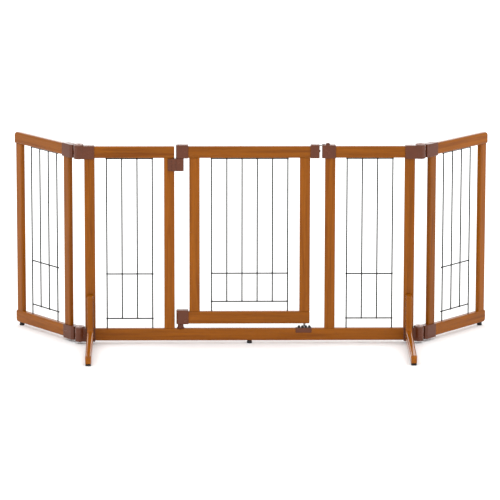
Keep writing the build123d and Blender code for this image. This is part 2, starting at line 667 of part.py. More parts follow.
with BuildPart() as latch_pin:
    with BuildSketch(Plane.XY.offset(PIN_CONE_Z)):
        with Locations((stile_mid, 0)):
            Circle(DOOR_PIN_R)
    extrude(amount=DOOR_Z0 + 14 - PIN_CONE_Z)
    with BuildSketch(Plane.XY.offset(PIN_CONE_Z)):
        with Locations((stile_mid, 0)):
            Circle(DOOR_PIN_R)
    extrude(amount=-3.5, taper=28)
save(latch_pin.part, "door_latch_pin")
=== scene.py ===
from math import acos, asin, atan, atan2, cos, pi, radians, sin, tan

import bmesh
import bpy
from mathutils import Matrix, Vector


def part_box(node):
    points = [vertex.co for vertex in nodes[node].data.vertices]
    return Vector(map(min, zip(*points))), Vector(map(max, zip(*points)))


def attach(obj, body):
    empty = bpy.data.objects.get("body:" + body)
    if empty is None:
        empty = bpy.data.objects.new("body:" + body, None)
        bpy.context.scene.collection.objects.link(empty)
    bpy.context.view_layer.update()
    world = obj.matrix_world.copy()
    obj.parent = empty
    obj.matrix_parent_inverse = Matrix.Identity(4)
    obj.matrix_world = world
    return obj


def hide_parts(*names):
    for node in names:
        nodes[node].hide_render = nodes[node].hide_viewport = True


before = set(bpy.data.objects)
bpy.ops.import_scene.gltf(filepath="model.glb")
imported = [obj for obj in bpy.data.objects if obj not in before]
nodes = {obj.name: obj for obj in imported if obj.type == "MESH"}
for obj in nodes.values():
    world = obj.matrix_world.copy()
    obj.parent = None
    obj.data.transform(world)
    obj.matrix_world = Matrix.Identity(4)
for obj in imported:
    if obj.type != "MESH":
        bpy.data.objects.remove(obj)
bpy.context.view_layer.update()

MM = 0.001


def srgb(r, g, b):
    """A colour given in 0-255 display values, as linear RGBA."""
    out = []
    for v in (r, g, b):
        v = v / 255
        out.append(v / 12.92 if v <= 0.04045 else ((v + 0.055) / 1.055) ** 2.4)
    return (*out, 1.0)


# ---------------------------------------------------------------- gate dimensions, mm
GATE_H, RAIL_T, RAIL_H, RAIL_R = 510.0, 18.0, 30.0, 5.0
POST_W, POST_T = 26.6, 12.5
SILL_Z0, SILL_TOP = 8.0, 39.5
RAIL_Z0 = GATE_H - RAIL_H
DOOR_Z0, DOOR_RAIL_TOP = 51.5, 83.5
OUTER_X, INNER_X = 418.5, 217.0
LEG_X = OUTER_X - POST_W / 2
AXIS_X = 431.5             # wing hinge axes
WING_START, WING_END = 36.0, 281.0
WING_OVER = 3.0            # wing rails end this far beyond the outer post
FOLD = {"left": 54.0, "right": 50.0}       # degrees back from straight
FOLD_MAX = 118.0
WALL = 2.0                 # plastic sleeves above and below the rails
SLEEVE_HALF = 11.0         # half thickness of the plastic sleeves
SOFT = 1.6                 # rounding of the plastic mouldings
DRUM_R = 13.5
DRUM_SLEEVE = 38.5         # hinge axis to the inner end of the sleeve
EYE_R, EYE_H = 10.5, 10.0
POCKET_R, POCKET_H = 11.0, 10.8
ARM_SLOT = 5.6             # half width of the drum's opening for the arm
HINGE_PIN_R = 3.0
DOOR_AXIS_X = -175.5
BEVEL_STEPS = 5
CORNER_STEPS = 8
SIDES = ("left", "right")


# ---------------------------------------------------------------- mesh building
class Place:
    """Axes laid on the gate: called with u, v and z in mm, gives the point in metres."""

    def __init__(self, origin, along, back, up=(0, 0, 1)):
        self.origin, self.up = Vector(origin), Vector(up)
        self.along, self.back = Vector(along), Vector(back)

    def __call__(self, u, v, z):
        return (self.origin + self.along * u + self.back * v + self.up * z) * MM


GATE = Place((0, 0, 0), (1, 0, 0), (0, 1, 0))
SIDE = Place((0, 0, 0), (0, 1, 0), (1, 0, 0))      # u is the gate's y, v its x
SIGN = {"left": -1, "right": 1}


def wing_place(side):
    """Axes of a wing: u outwards from its hinge axis, v towards its back."""
    turn = radians(FOLD[side])
    return Place((SIGN[side] * AXIS_X, 0, 0), (SIGN[side] * cos(turn), sin(turn), 0),
                 (-SIGN[side] * sin(turn), cos(turn), 0))


def drum_place(side):
    """Axes of a wing hinge: u from its axis towards the middle of the gate."""
    return Place((SIGN[side] * AXIS_X, 0, 0), (-SIGN[side], 0, 0), (0, 1, 0))


def outline(corners, inset, steps=CORNER_STEPS):
    """Polygon of (a, b, radius) corners, moved inwards and with its corners rounded."""
    count = len(corners)
    area = sum(corners[i][0] * corners[(i + 1) % count][1]
               - corners[(i + 1) % count][0] * corners[i][1] for i in range(count))
    turn = 1 if area > 0 else -1
    points = []
    for i in range(count):
        before, here, after = (Vector(corners[(i + k) % count][:2]) for k in (-1, 0, 1))
        d_in, d_out = (here - before).normalized(), (after - here).normalized()
        n_in = Vector((-d_in.y, d_in.x)) * turn
        n_out = Vector((-d_out.y, d_out.x)) * turn
        bend = n_in + n_out
        corner = here + bend / max(bend.dot(n_in), 1e-6) * inset
        convex = (d_in.x * d_out.y - d_in.y * d_out.x) * turn > 0
        radius = corners[i][2] - inset if convex else corners[i][2] + inset
        radius = max(radius, 0.05)
        angle = acos(max(-1.0, min(1.0, d_in.dot(d_out))))
        start = corner - d_in * radius * tan(angle / 2)
        centre = start + (n_in if convex else -n_in) * radius
        a0 = atan2(start.y - centre.y, start.x - centre.x)
        sweep = angle * (turn if convex else -turn)
        for k in range(steps + 1):
            a = a0 + sweep * k / steps
            points.append((centre.x + radius * cos(a), centre.y + radius * sin(a)))
    return points


def rounded_levels(low, high, bevel_low, bevel_high):
    """(height, inset) pairs of a body whose lower and upper edges are rounded over."""
    turns = [pi / 2 * k / BEVEL_STEPS for k in range(BEVEL_STEPS + 1)]
    levels = [(low + bevel_low * (1 - cos(a)), bevel_low * (1 - sin(a))) for a in turns]
    levels += [(high - bevel_high * (1 - cos(a)), bevel_high * (1 - sin(a)))
               for a in reversed(turns)]
    return levels


def join_loops(bm, loops):
    """Skins a row of point loops with the same number of points and closes both ends."""
    rings = [[bm.verts.new(p) for p in loop] for loop in loops]
    for low, high in zip(rings, rings[1:]):
        count = len(low)
        for i in range(count):
            j = (i + 1) % count
            bm.faces.new((low[i], low[j], high[j], high[i]))
    bm.faces.new(list(reversed(rings[0])))
    bm.faces.new(rings[-1])
    return rings


def add_plate(bm, place, corners, v0, v1, bevel):
    """A board with its outline in the panel's plane, rounded over on both sides."""
    join_loops(bm, [[place(a, v, b) for a, b in outline(corners, inset)]
                    for v, inset in rounded_levels(v0, v1, bevel, bevel)])


def add_prism(bm, place, plan, z0, z1, bevel_low, bevel_high):
    """An upright moulding; plan is a list of corners or a function of the inset."""
    loops = []
    for z, inset in rounded_levels(z0, z1, bevel_low, bevel_high):
        points = plan(inset) if callable(plan) else outline(plan, inset)
        loops.append([place(u, v, z) for u, v in points])
    join_loops(bm, loops)


def add_lathe(bm, place, profile, u=0.0, v=0.0, segments=36):
    """A turned shape: profile of (radius, z), centred on (u, v)."""
    angles = [2 * pi * i / segments for i in range(segments)]
    join_loops(bm, [[place(u + radius * cos(a), v + radius * sin(a), z) for a in angles]
                    for radius, z in profile])


def add_rod(bm, start, end, radius, segments=14):
    """A wire between two points in metres, with slightly rounded ends."""
    axis = end - start
    length = axis.length / MM
    turn = axis.to_track_quat("Z", "Y").to_matrix()
    stations = [(0, 0.6), (0.2, 0.86), (0.6, 1.0),
                (length - 0.6, 1.0), (length - 0.2, 0.86), (length, 0.6)]
    angles = [2 * pi * i / segments for i in range(segments)]
    join_loops(bm, [[start + turn @ Vector((radius * share * cos(a), radius * share * sin(a),
                                            along)) * MM for a in angles]
                    for along, share in stations])


def add_blob(bm, place, u, v, z, size, rings=7, segments=12):
    """A weld nugget: a small ellipsoid."""
    loops = []
    for k in range(rings):
        a = pi * (k + 0.5) / rings
        loops.append([place(u + size[0] * sin(a) * cos(2 * pi * i / segments),
                            v + size[1] * sin(a) * sin(2 * pi * i / segments),
                            z - size[2] * cos(a)) for i in range(segments)])
    join_loops(bm, loops)


def scratch_object(bm):
    """Puts a shape in the scene for the time of a join or a cut."""
    bmesh.ops.recalc_face_normals(bm, faces=bm.faces)
    mesh = bpy.data.meshes.new("scratch")
    bm.to_mesh(mesh)
    bm.free()
    obj = bpy.data.objects.new("scratch", mesh)
    bpy.context.collection.objects.link(obj)
    return obj


def carve(bm, tools):
    """Joins closed shapes to a shape or cuts them out of it; tools are (operation, bmesh)."""
    base = scratch_object(bm)
    helpers = []
    for operation, tool in tools:
        helper = scratch_object(tool)
        helpers.append(helper)
        step = base.modifiers.new("step", "BOOLEAN")
        step.operation, step.object, step.solver = operation, helper, "EXACT"
    graph = bpy.context.evaluated_depsgraph_get()
    result = bpy.data.meshes.new_from_object(base.evaluated_get(graph))
    out = bmesh.new()
    out.from_mesh(result)
    bpy.data.meshes.remove(result)
    for obj in helpers + [base]:
        mesh = obj.data
        bpy.data.objects.remove(obj)
        bpy.data.meshes.remove(mesh)
    bmesh.ops.dissolve_degenerate(out, dist=1e-6, edges=out.edges)
    return out


def new_shape(kind, *values, **options):
    """A bmesh with one shape in it, such as a plate, a prism or a turned part."""
    bm = bmesh.new()
    kind(bm, *values, **options)
    return bm


def new_piece(name, bm, body, replaced, finish=None, sharp=36.0):
    """Turns a bmesh into a finished piece that rides on a body."""
    bmesh.ops.recalc_face_normals(bm, faces=bm.faces)
    mesh = bpy.data.meshes.new(name)
    bm.to_mesh(mesh)
    bm.free()
    mesh.shade_smooth()
    mesh.set_sharp_from_angle(angle=radians(sharp))
    mesh.materials.append(finish or finish_of(replaced[0]))
    obj = bpy.data.objects.new(name, mesh)
    bpy.context.collection.objects.link(obj)
    weighted = obj.modifiers.new("weighted", "WEIGHTED_NORMAL")
    weighted.keep_sharp = True
    weighted.weight = 80
    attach(obj, body)
    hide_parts(*replaced)


# ---------------------------------------------------------------- materials
class Nodes:
    """Short way to build a node tree."""

    def __init__(self, name):
        self.mat = bpy.data.materials.new(name)
        self.mat.use_nodes = True
        self.tree = self.mat.node_tree
        self.tree.nodes.clear()

    def add(self, kind, **values):
        node = self.tree.nodes.new(kind)
        for key, value in values.items():
            setattr(node, key, value)
        return node

    def link(self, out, into):
        self.tree.links.new(out, into)

    def object_coords(self):
        return self.add("ShaderNodeTexCoord").outputs["Object"]

    def math(self, operation, a, b):
        node = self.add("ShaderNodeMath", operation=operation)
        for socket, value in zip(node.inputs, (a, b)):
            if isinstance(value, (int, float)):
                socket.default_value = value
            else:
                self.link(value, socket)
        return node.outputs[0]

    def ramp(self, fac, stops):
        node = self.add("ShaderNodeValToRGB")
        elements = node.color_ramp.elements
        while len(elements) < len(stops):
            elements.new(0.5)
        for element, (position, colour) in zip(elements, stops):
            element.position = position
            element.color = colour if hasattr(colour, "__len__") else (colour,) * 3 + (1,)
        self.link(fac, node.inputs[0])
        return node.outputs[0]

    def mix(self, kind, fac, a, b):
        node = self.add("ShaderNodeMix", data_type="RGBA", blend_type=kind)
        for index, value in ((0, fac), (6, a), (7, b)):
            socket = node.inputs[index]
            if isinstance(value, (int, float)) or hasattr(value, "__len__"):
                socket.default_value = value
            else:
                self.link(value, socket)
        return node.outputs[2]

    def noise(self, vector, scale, detail=4.0, roughness=0.5, distortion=0.0):
        node = self.add("ShaderNodeTexNoise")
        node.inputs["Scale"].default_value = scale
        node.inputs["Detail"].default_value = detail
        node.inputs["Roughness"].default_value = roughness
        node.inputs["Distortion"].default_value = distortion
        self.link(vector, node.inputs["Vector"])
        return node.outputs["Fac"]

    def mapped(self, vector, location=(0, 0, 0), rotation=(0, 0, 0), scale=(1, 1, 1)):
        node = self.add("ShaderNodeMapping")
        node.inputs["Location"].default_value = location
        node.inputs["Rotation"].default_value = rotation
        node.inputs["Scale"].default_value = scale
        self.link(vector, node.inputs["Vector"])
        return node.outputs[0]

    def bump(self, height, strength, distance):
        node = self.add("ShaderNodeBump")
        node.inputs["Strength"].default_value = strength
        node.inputs["Distance"].default_value = distance
        self.link(height, node.inputs["Height"])
        return node.outputs[0]

    def finish(self, colour, roughness, normal=None, **constants):
        shader = self.add("ShaderNodeBsdfPrincipled")
        output = self.add("ShaderNodeOutputMaterial")
        self.link(shader.outputs[0], output.inputs[0])
        for name, value in (("Base Color", colour), ("Roughness", roughness)):
            if isinstance(value, (int, float)) or hasattr(value, "__len__"):
                shader.inputs[name].default_value = value
            else:
                self.link(value, shader.inputs[name])
        if normal is not None:
            self.link(normal, shader.inputs["Normal"])
        for name, value in constants.items():
            shader.inputs[name.replace("_", " ")].default_value = value
        return self.mat


def wood(name, rotation, seed, tint, bent):
    """Stained, lacquered hardwood; the grain runs along the turned x axis."""
    n = Nodes(name)
    source = n.add("ShaderNodeTexCoord")
    coords = source.outputs["Object"]
    if bent:
        # the grain follows the leg's bend, laid down in its grain map
        rotation = (0, 0, 0)
        along = n.add("ShaderNodeSeparateXYZ")
        across = n.add("ShaderNodeSeparateXYZ")
        joined = n.add("ShaderNodeCombineXYZ")
        n.link(source.outputs["UV"], along.inputs[0])
        n.link(source.outputs["Object"], across.inputs[0])
        n.link(along.outputs["X"], joined.inputs["X"])
        n.link(along.outputs["Y"], joined.inputs["Y"])
        n.link(across.outputs["X"], joined.inputs["Z"])
        coords = joined.outputs[0]
    shift = (0.37 * seed % 1.9, 0.53 * seed % 1.3, 0.71 * seed % 1.7)
    turned = n.mapped(coords, rotation=rotation)
    grain = n.mapped(turned, location=shift, scale=(1.0, 14.0, 14.0))
    warp = n.noise(n.mapped(turned, location=shift, scale=(3, 9, 9)), 1.0, 3.0)
    # slow bands of the growth rings, drawn out along the piece
    rings_at = n.mapped(turned, location=shift, scale=(1.6, 34.0, 34.0))
    rings = n.noise(rings_at, 2.2, 3.0, 0.55, 1.4)
    streaks = n.noise(n.mapped(turned, location=shift, scale=(7, 260, 260)), 1.0, 5.0, 0.62)
    pores = n.noise(n.mapped(turned, location=shift, scale=(55, 1500, 1500)), 1.0, 2.0, 0.5)
    blotch = n.noise(grain, 1.6, 2.0)
    dark = srgb(121 * tint, 62 * tint, 3 * tint)
    mid = srgb(140 * tint, 77 * tint, 8 * tint)
    light = srgb(149 * tint, 84 * tint, 12 * tint)
    base = n.ramp(rings, [(0.25, dark), (0.5, mid), (0.78, light)])
    streak_tone = n.ramp(streaks, [(0.3, 0.74), (0.55, 1.0), (0.8, 1.14)])
    base = n.mix("MULTIPLY", 0.75, base, streak_tone)
    blotch_tone = n.ramp(blotch, [(0.3, 0.88), (0.7, 1.08)])
    base = n.mix("MULTIPLY", 0.8, base, blotch_tone)
    pore_mask = n.ramp(pores, [(0.60, 0.0), (0.74, 1.0)])
    pore_depth = n.math("MULTIPLY", pore_mask, 0.45)
    base = n.mix("MIX", pore_depth, base, srgb(70, 32, 12))
    # the paler streaks shine a little more
    rough = n.ramp(streaks, [(0.3, 0.32), (0.8, 0.22)])
    height = n.math("SUBTRACT", n.math("MULTIPLY", streaks, 0.5), pore_mask)
    height = n.math("ADD", height, n.math("MULTIPLY", warp, 0.8))
    normal = n.bump(height, 0.22, 0.0004)
    return n.finish(base, rough, normal, Coat_Weight=1.0, Coat_IOR=1.24, Coat_Roughness=0.12,
                    Specular_IOR_Level=0.0)


def plastic(name, colour, seed, gloss=0.19, specular=0.32):
    """Moulded plastic with a fine spark-eroded texture."""
    n = Nodes(name)
    coords = n.object_coords()
    spot = n.mapped(coords, location=(seed * 0.31, seed * 0.17, seed * 0.23))
    fine = n.noise(spot, 1900.0, 2.0, 0.6)
    slow = n.noise(spot, 45.0, 3.0)
    tone = n.ramp(slow, [(0.3, 0.90), (0.7, 1.08)])
    base = n.mix("MULTIPLY", 0.8, colour, tone)
    base = n.mix("MULTIPLY", 0.5, base, n.ramp(fine, [(0.35, 0.86), (0.65, 1.10)]))
    rough = n.ramp(slow, [(0.3, gloss), (0.7, gloss + 0.10)])
    normal = n.bump(fine, 0.30, 0.00010)
    return n.finish(base, rough, normal, Specular_IOR_Level=specular)


def wire_metal(name):
    """Steel wire under a dark powder coat."""
    n = Nodes(name)
    coords = n.object_coords()
    peel = n.noise(coords, 900.0, 3.0, 0.6)
    slow = n.noise(coords, 60.0, 2.0)
    base = n.mix("MULTIPLY", 0.7, srgb(14, 15, 15), n.ramp(slow, [(0.3, 0.8), (0.7, 1.15)]))
    rough = n.ramp(peel, [(0.3, 0.40), (0.7, 0.52)])
    normal = n.bump(peel, 0.25, 0.00015)
    return n.finish(base, rough, normal, Specular_IOR_Level=0.12)


def rubber_material(name):
    """Black rubber, a little dusty."""
    n = Nodes(name)
    coords = n.object_coords()
    grit = n.noise(coords, 1300.0, 3.0, 0.7)
    dust = n.noise(coords, 140.0, 3.0)
    base = n.mix("MIX", n.ramp(dust, [(0.45, 0.0), (0.8, 0.25)]), srgb(26, 26, 27),
                 srgb(62, 60, 58))
    rough = n.ramp(grit, [(0.3, 0.72), (0.7, 0.88)])
    return n.finish(base, rough, n.bump(grit, 0.5, 0.0002))


def steel_material(name):
    """Brushed steel of the bolts and screws."""
    n = Nodes(name)
    coords = n.object_coords()
    brushed = n.noise(n.mapped(coords, scale=(60, 60, 2400)), 1.0, 3.0, 0.6)
    spots = n.noise(coords, 160.0, 3.0)
    base = n.mix("MULTIPLY", 0.6, srgb(128, 124, 120), n.ramp(spots, [(0.3, 0.8), (0.7, 1.1)]))
    rough = n.ramp(brushed, [(0.3, 0.28), (0.7, 0.42)])
    return n.finish(base, rough, n.bump(brushed, 0.2, 0.0001), Metallic=1.0)


# ---------------------------------------------------------------- a finish for every node
ALONG_X = (0, 0, 0)
ALONG_Z = (0, radians(90), 0)
PLASTIC = srgb(92, 46, 24)
# lighter pinkish plastic of the hinge disc heads: the lighter colour is painted highlight, for
# the light their tops catch
DISC_PAINTED_HIGHLIGHT = srgb(134, 102, 92)
PLAIN_FINISHES = {"wire": wire_metal, "rubber": rubber_material, "steel": steel_material}
finishes = {}
slot_of = {name: obj.material_slots[0].material.name.split(".")[0]
           for name, obj in nodes.items()}
order = {name: index + 1 for index, name in enumerate(sorted(nodes))}


def node_direction(name):
    """Turn that lays a wooden node's grain along the texture's x axis."""
    low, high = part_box(name)
    size = high - low
    if size.z > max(size.x, size.y):
        return ALONG_Z
    if "_wing_" in name:
        slope = atan(size.y / size.x)
        return (0, 0, slope if name.startswith("left") else -slope)
    return ALONG_X


def new_finish(name, kind):
    seed = order[name]
    if kind == "wood":
        tint = 1.0 + 0.025 * sin(seed * 2.3)
        return wood(f"wood_{name}", node_direction(name), seed, tint,
                    name.endswith("support_leg"))
    if kind == "plastic":
        if name.endswith("hinge_pins"):
            # the hinge pins and disc heads take the lighter disc colour, a painted highlight
            return plastic(f"plastic_{name}", DISC_PAINTED_HIGHLIGHT, seed, gloss=0.22, specular=0.6)
        return plastic(f"plastic_{name}", PLASTIC, seed)
    return PLAIN_FINISHES[kind](f"{kind}_finish")


def finish_of(name):
    """The material of a node; each piece of wood or plastic differs a little, the rest share."""
    kind = slot_of[name]
    key = kind if kind in PLAIN_FINISHES else name
    if key not in finishes:
        finishes[key] = new_finish(name, kind)
    return finishes[key]


for name, obj in sorted(nodes.items()):
    obj.material_slots[0].material = finish_of(name)

# ---------------------------------------------------------------- wing rails
LEVELS = {"top": (RAIL_Z0, GATE_H), "bottom": (SILL_Z0, SILL_TOP)}
WING_RAIL_U0 = WING_START + 0.5
WING_RAIL_U1 = WING_END + WING_OVER
END_CORNER = 2.0           # corners inside the hinge sleeve
SOFT_CORNER = 9.0          # free corner at the top of the upper and bottom of the lower rail
INNER_CORNER = 4.0         # the other corner of that end
for side in SIDES:
    for level, (z0, z1) in LEVELS.items():
        r_low, r_high = SOFT_CORNER, INNER_CORNER
        if level == "top":
            r_low, r_high = INNER_CORNER, SOFT_CORNER
        rail = new_shape(add_plate, wing_place(side),
                         [(WING_RAIL_U0, z0, END_CORNER), (WING_RAIL_U1, z0, r_low),
                          (WING_RAIL_U1, z1, r_high), (WING_RAIL_U0, z1, END_CORNER)],
                         -RAIL_T / 2, RAIL_T / 2, RAIL_R)
        new_piece(f"{side}_wing_{level}_rail_made", rail, f"{side}_wing",
                  [f"{side}_wing_{level}_rail"])

# ---------------------------------------------------------------- welded wire grids
WIRE_R, WIRE_PITCH = 1.6, 38.6
WIRE_IN_RAIL = 8.0
WIRE_TAIL = 1.4            # inner wires end this far below the lower cross wire
CROSS_V = 2.6              # cross wires lie this far behind the upright ones
CROSS_OVER = 2.5           # and end this far beyond the outer ones
CROSS_LOW = 24.6           # lower cross wire above the bottom rail
PANEL_CROSS_HIGH, DOOR_CROSS_HIGH = 179.8, 181.2
TOP_WIRE_DROP = 2.4        # wire just below the top rail
NUGGET = (1.75, 1.5, 2.1)  # half sizes of a weld


def add_grid(bm, place, wires, z_low, cross_high):
    cross_heights = [z_low + CROSS_LOW, cross_high, RAIL_Z0 - TOP_WIRE_DROP]
    for index, u in enumerate(wires):
        outer = index in (0, len(wires) - 1)
        start = z_low - WIRE_IN_RAIL if outer else cross_heights[0] - WIRE_TAIL
        add_rod(bm, place(u, 0, start), place(u, 0, RAIL_Z0 + WIRE_IN_RAIL), WIRE_R)
        for z in cross_heights:
            add_blob(bm, place, u, CROSS_V / 2, z, NUGGET)
    for z in cross_heights:
        add_rod(bm, place(wires[0] - CROSS_OVER, CROSS_V, z),
                place(wires[-1] + CROSS_OVER, CROSS_V, z), WIRE_R)


def wire_row(middle, count):
    return [middle + (i - (count - 1) / 2) * WIRE_PITCH for i in range(count)]


panel_mid = (OUTER_X + INNER_X - POST_W) / 2
wing_mid = (WING_START + WING_END) / 2
for side in SIDES:
    grid = new_shape(add_grid, GATE, wire_row(SIGN[side] * panel_mid, 4), SILL_TOP,
                     PANEL_CROSS_HIGH)
    new_piece(f"{side}_grid_made", grid, "frame", [f"{side}_wire_grid"])
    grid = new_shape(add_grid, wing_place(side), wire_row(wing_mid, 4), SILL_TOP,
                     PANEL_CROSS_HIGH)
    new_piece(f"{side}_wing_grid_made", grid, f"{side}_wing",
              [f"{side}_wing_wire_grid"])
grid = new_shape(add_grid, GATE, wire_row(0.0, 6), DOOR_RAIL_TOP, DOOR_CROSS_HIGH)
new_piece("door_grid_made", grid, "door", ["door_wire_grid"])

# ---------------------------------------------------------------- support legs
LEG_HALF = 8.0
LEG_EDGE, LEG_BACK_EDGE = 4.2, 1.6         # rounding along its front and its back
LEG_BACK = -POST_T / 2                     # it stands on the face of the post
LEG_FRONT = LEG_BACK - 25.0
LEG_TOP, LEG_TOP_R = 128.0, 9.0
LEG_TIP, LEG_TIP_R = -262.0, 10.0
LEG_TIP_TOP = 24.7
# back point and front point (y, z) of the cross-sections round the knee
KNEE = [((LEG_BACK, 55), (-31.3, 55)), ((LEG_BACK, 47), (-31.7, 49.5)),
        ((-6.9, 42.9), (-32.9, 45.2)), ((-11.2, 41.0), (-35.0, 41.6)),
        ((-11.2, 32), (-38.2, 38.8)), ((-11.2, 21), (-42.2, 36.9)),
        ((-13.0, 11.2), (-47.0, 35.6)), ((-30, 9.3), (-55, 34.8))]


def under_leg(y):
    """Height of the flat stretch's underside, which falls a little towards the tip."""
    return 9.6 + (y + 31) * 0.027


def over_leg(y):
    """Height of its upper side."""
    return 24.2 + (y - LEG_TIP) * 0.052


def leg_stations():
    """Cross-sections down the leg: back point, front point (y, z) and how much narrower."""
    rows = []
    for k in range(7):                       # rounded top
        a = pi / 2 * k / 6
        rows.append(((LEG_BACK - LEG_BACK_EDGE * (1 - sin(a)),
                      LEG_TOP - LEG_BACK_EDGE * (1 - cos(a))),
                     (LEG_FRONT + LEG_TOP_R * (1 - sin(a)), LEG_TOP - LEG_TOP_R * (1 - cos(a))),
                     2.0 * (1 - sin(a))))
    rows += [((LEG_BACK, z), (LEG_FRONT, z), 0.0) for z in (110, 95, 80, 65)]
    rows += [(back, front, 0.0) for back, front in KNEE]
    for y in (-80, -110, -140, -170, -200, -228):
        rows.append(((y + 4, under_leg(y)), (y, over_leg(y)), 0.0))
    for k in range(8):                       # rounded tip
        a = pi / 2 * k / 7
        rows.append(((-246 - 13.5 * sin(a) - 2.5 * sin(a) ** 4, 4.0 + 3.0 * (1 - cos(a))),
                     (LEG_TIP + LEG_TIP_R * (1 - sin(a)), LEG_TIP_TOP - LEG_TIP_R * (1 - cos(a))),
                     2.2 * (1 - cos(a))))
    return rows


def add_leg(bm, x):
    """Sweeps a rounded section down the leg; the grain coordinates follow the bend."""
    loops, coordinates, travelled, last = [], [], 0.0, None
    for back, front, inset in leg_stations():
        back, front = Vector(back), Vector(front)
        middle = (back + front) / 2
        travelled += (middle - last).length if last else 0.0
        last = middle
        along = (front - back).normalized()
        length = (front - back).length
        half = LEG_HALF - inset
        corners = [(0, -half, LEG_BACK_EDGE), (length, -half, LEG_EDGE),
                   (length, half, LEG_EDGE), (0, half, LEG_BACK_EDGE)]
        ring, rows = [], []
        for t, w in outline(corners, 0.0, 5):
            p = back + along * t
            ring.append(Vector((x + w, p.x, p.y)) * MM)
            rows.append((travelled * MM, t * MM))
        loops.append(ring)
        coordinates.append(rows)
    rings = join_loops(bm, loops)
    table = {v: row for ring, rows in zip(rings, coordinates) for v, row in zip(ring, rows)}
    layer = bm.loops.layers.uv.new("grain")
    for face in bm.faces:
        for loop in face.loops:
            loop[layer].uv = table[loop.vert]


PAD_HALF, PAD_CORNER = 7.0, 4.0
PAD_FRONT, PAD_BACK, PAD_TOP = -258.5, -240.5, 4.3
for side in SIDES:
    x = SIGN[side] * LEG_X
    new_piece(f"{side}_leg_made", new_shape(add_leg, x), "frame",
              [f"{side}_support_leg"], sharp=50.0)
    pad = new_shape(add_prism, GATE,
                    [(x - PAD_HALF, PAD_FRONT, PAD_CORNER), (x + PAD_HALF, PAD_FRONT, PAD_CORNER),
                     (x + PAD_HALF, PAD_BACK, PAD_CORNER), (x - PAD_HALF, PAD_BACK, PAD_CORNER)],
                    0.0, PAD_TOP, 0.9, 0.4)
    new_piece(f"{side}_pad_made", pad, "frame", [f"{side}_leg_pad"])

# ---------------------------------------------------------------- feet
FOOT_PROFILE = [(5.2, 0.0), (6.1, 0.35), (6.5, 1.2), (6.5, 4.6), (6.2, 5.2), (5.7, 5.5),
                (5.7, 6.1), (6.2, 6.5), (6.2, 8.3)]
new_piece("centre_foot_made", new_shape(add_lathe, GATE, FOOT_PROFILE), "frame",
          ["centre_foot"])
for side in SIDES:
    foot = new_shape(add_lathe, wing_place(side), FOOT_PROFILE, WING_END - POST_W / 2)
    new_piece(f"{side}_wing_foot_made", foot, f"{side}_wing", [f"{side}_wing_foot"])

# ---------------------------------------------------------------- wing hinges
SLEEVE_CORNER = 1.2
SLEEVE_FLATS = (30.0, 22.0)            # points along the sleeve's flat sides
DRUM_STEPS, SLEEVE_STEPS = 40, 4
POCKET_REACH = 20.0                    # the pocket is cut this far out of the drum
SHARP = 0.1                            # corner radius of a cutting tool
CUT_BEVEL = 0.01
ARM_NECK_U, ARM_NECK_HALF = 18.0, 8.0
ARM_SHOULDER_U = 26.0
ARM_SLEEVE_END = 61.5
ARM_BAR_HALF, ARM_BAR_END = 5.0, 24.0
PIN_PLAY = 0.08


def drum_outline(inset):
    """Plan of a hinge bracket: a flat-sided sleeve that runs into a round drum."""
    radius, half = DRUM_R - inset, SLEEVE_HALF - inset
    meet = asin(half / radius)
    end = DRUM_SLEEVE - inset
    corner = max(SLEEVE_CORNER - inset, 0.05)
    turns = [pi / 2 * k / SLEEVE_STEPS for k in range(SLEEVE_STEPS + 1)]
    points = [(end - corner + corner * cos(a), half - corner + corner * sin(a)) for a in turns]
    points += [(u, half) for u in SLEEVE_FLATS]
    for k in range(DRUM_STEPS + 1):
        a = meet + (2 * pi - 2 * meet) * k / DRUM_STEPS
        points.append((radius * cos(a), radius * sin(a)))
    points += [(u, -half) for u in reversed(SLEEVE_FLATS)]
    points += [(end - corner + corner * cos(a), -half + corner - corner * sin(a))
               for a in reversed(turns)]
    return points


def box_plan(u0, u1, half, r0, r1):
    """Plan of a block that is symmetric about its panel: ends u0 and u1, corner radii there."""
    return [(u0, -half, r0), (u1, -half, r1), (u1, half, r1), (u0, half, r0)]


def disc(z):
    """Disc head on top of a hinge drum: rim, dished face and a small rivet."""
    return [(11.2, z - 0.1), (11.2, z + 0.5), (11.8, z + 0.9), (11.8, z + 2.6), (11.4, z + 3.4),
            (10.6, z + 3.7), (9.9, z + 3.6), (9.3, z + 3.0), (4.2, z + 3.1), (3.8, z + 3.6),
            (2.9, z + 4.0), (1.2, z + 4.1)]


def hinge_bracket(drum, low, high):
    """The frame's half: sleeve and drum, hollow where the wing's arm turns."""
    middle, fold = (low + high) / 2, radians(FOLD_MAX)
    pocket = (middle - POCKET_H / 2, middle + POCKET_H / 2)
    folded = Place(drum.origin, (-drum.along[0] * cos(fold), sin(fold), 0),
                   (drum.along[0] * sin(fold), cos(fold), 0))
    round_part = new_shape(add_lathe, drum, [(POCKET_R, z) for z in pocket])
    wide_part = new_shape(add_prism, drum,
                          [(-POCKET_REACH, -ARM_SLOT, SHARP), (POCKET_R, -ARM_SLOT, SHARP),
                           (POCKET_R, POCKET_REACH, SHARP), (-POCKET_REACH, POCKET_REACH, SHARP)],
                          *pocket, CUT_BEVEL, CUT_BEVEL)
    folded_part = new_shape(add_prism, folded, box_plan(0, 30, ARM_SLOT, SHARP, SHARP),
                            *pocket, CUT_BEVEL, CUT_BEVEL)
    bracket = new_shape(add_prism, drum, drum_outline, low, high, SOFT, 1.5)
    return carve(bracket, [("DIFFERENCE", round_part), ("DIFFERENCE", wide_part),
                           ("DIFFERENCE", folded_part)])


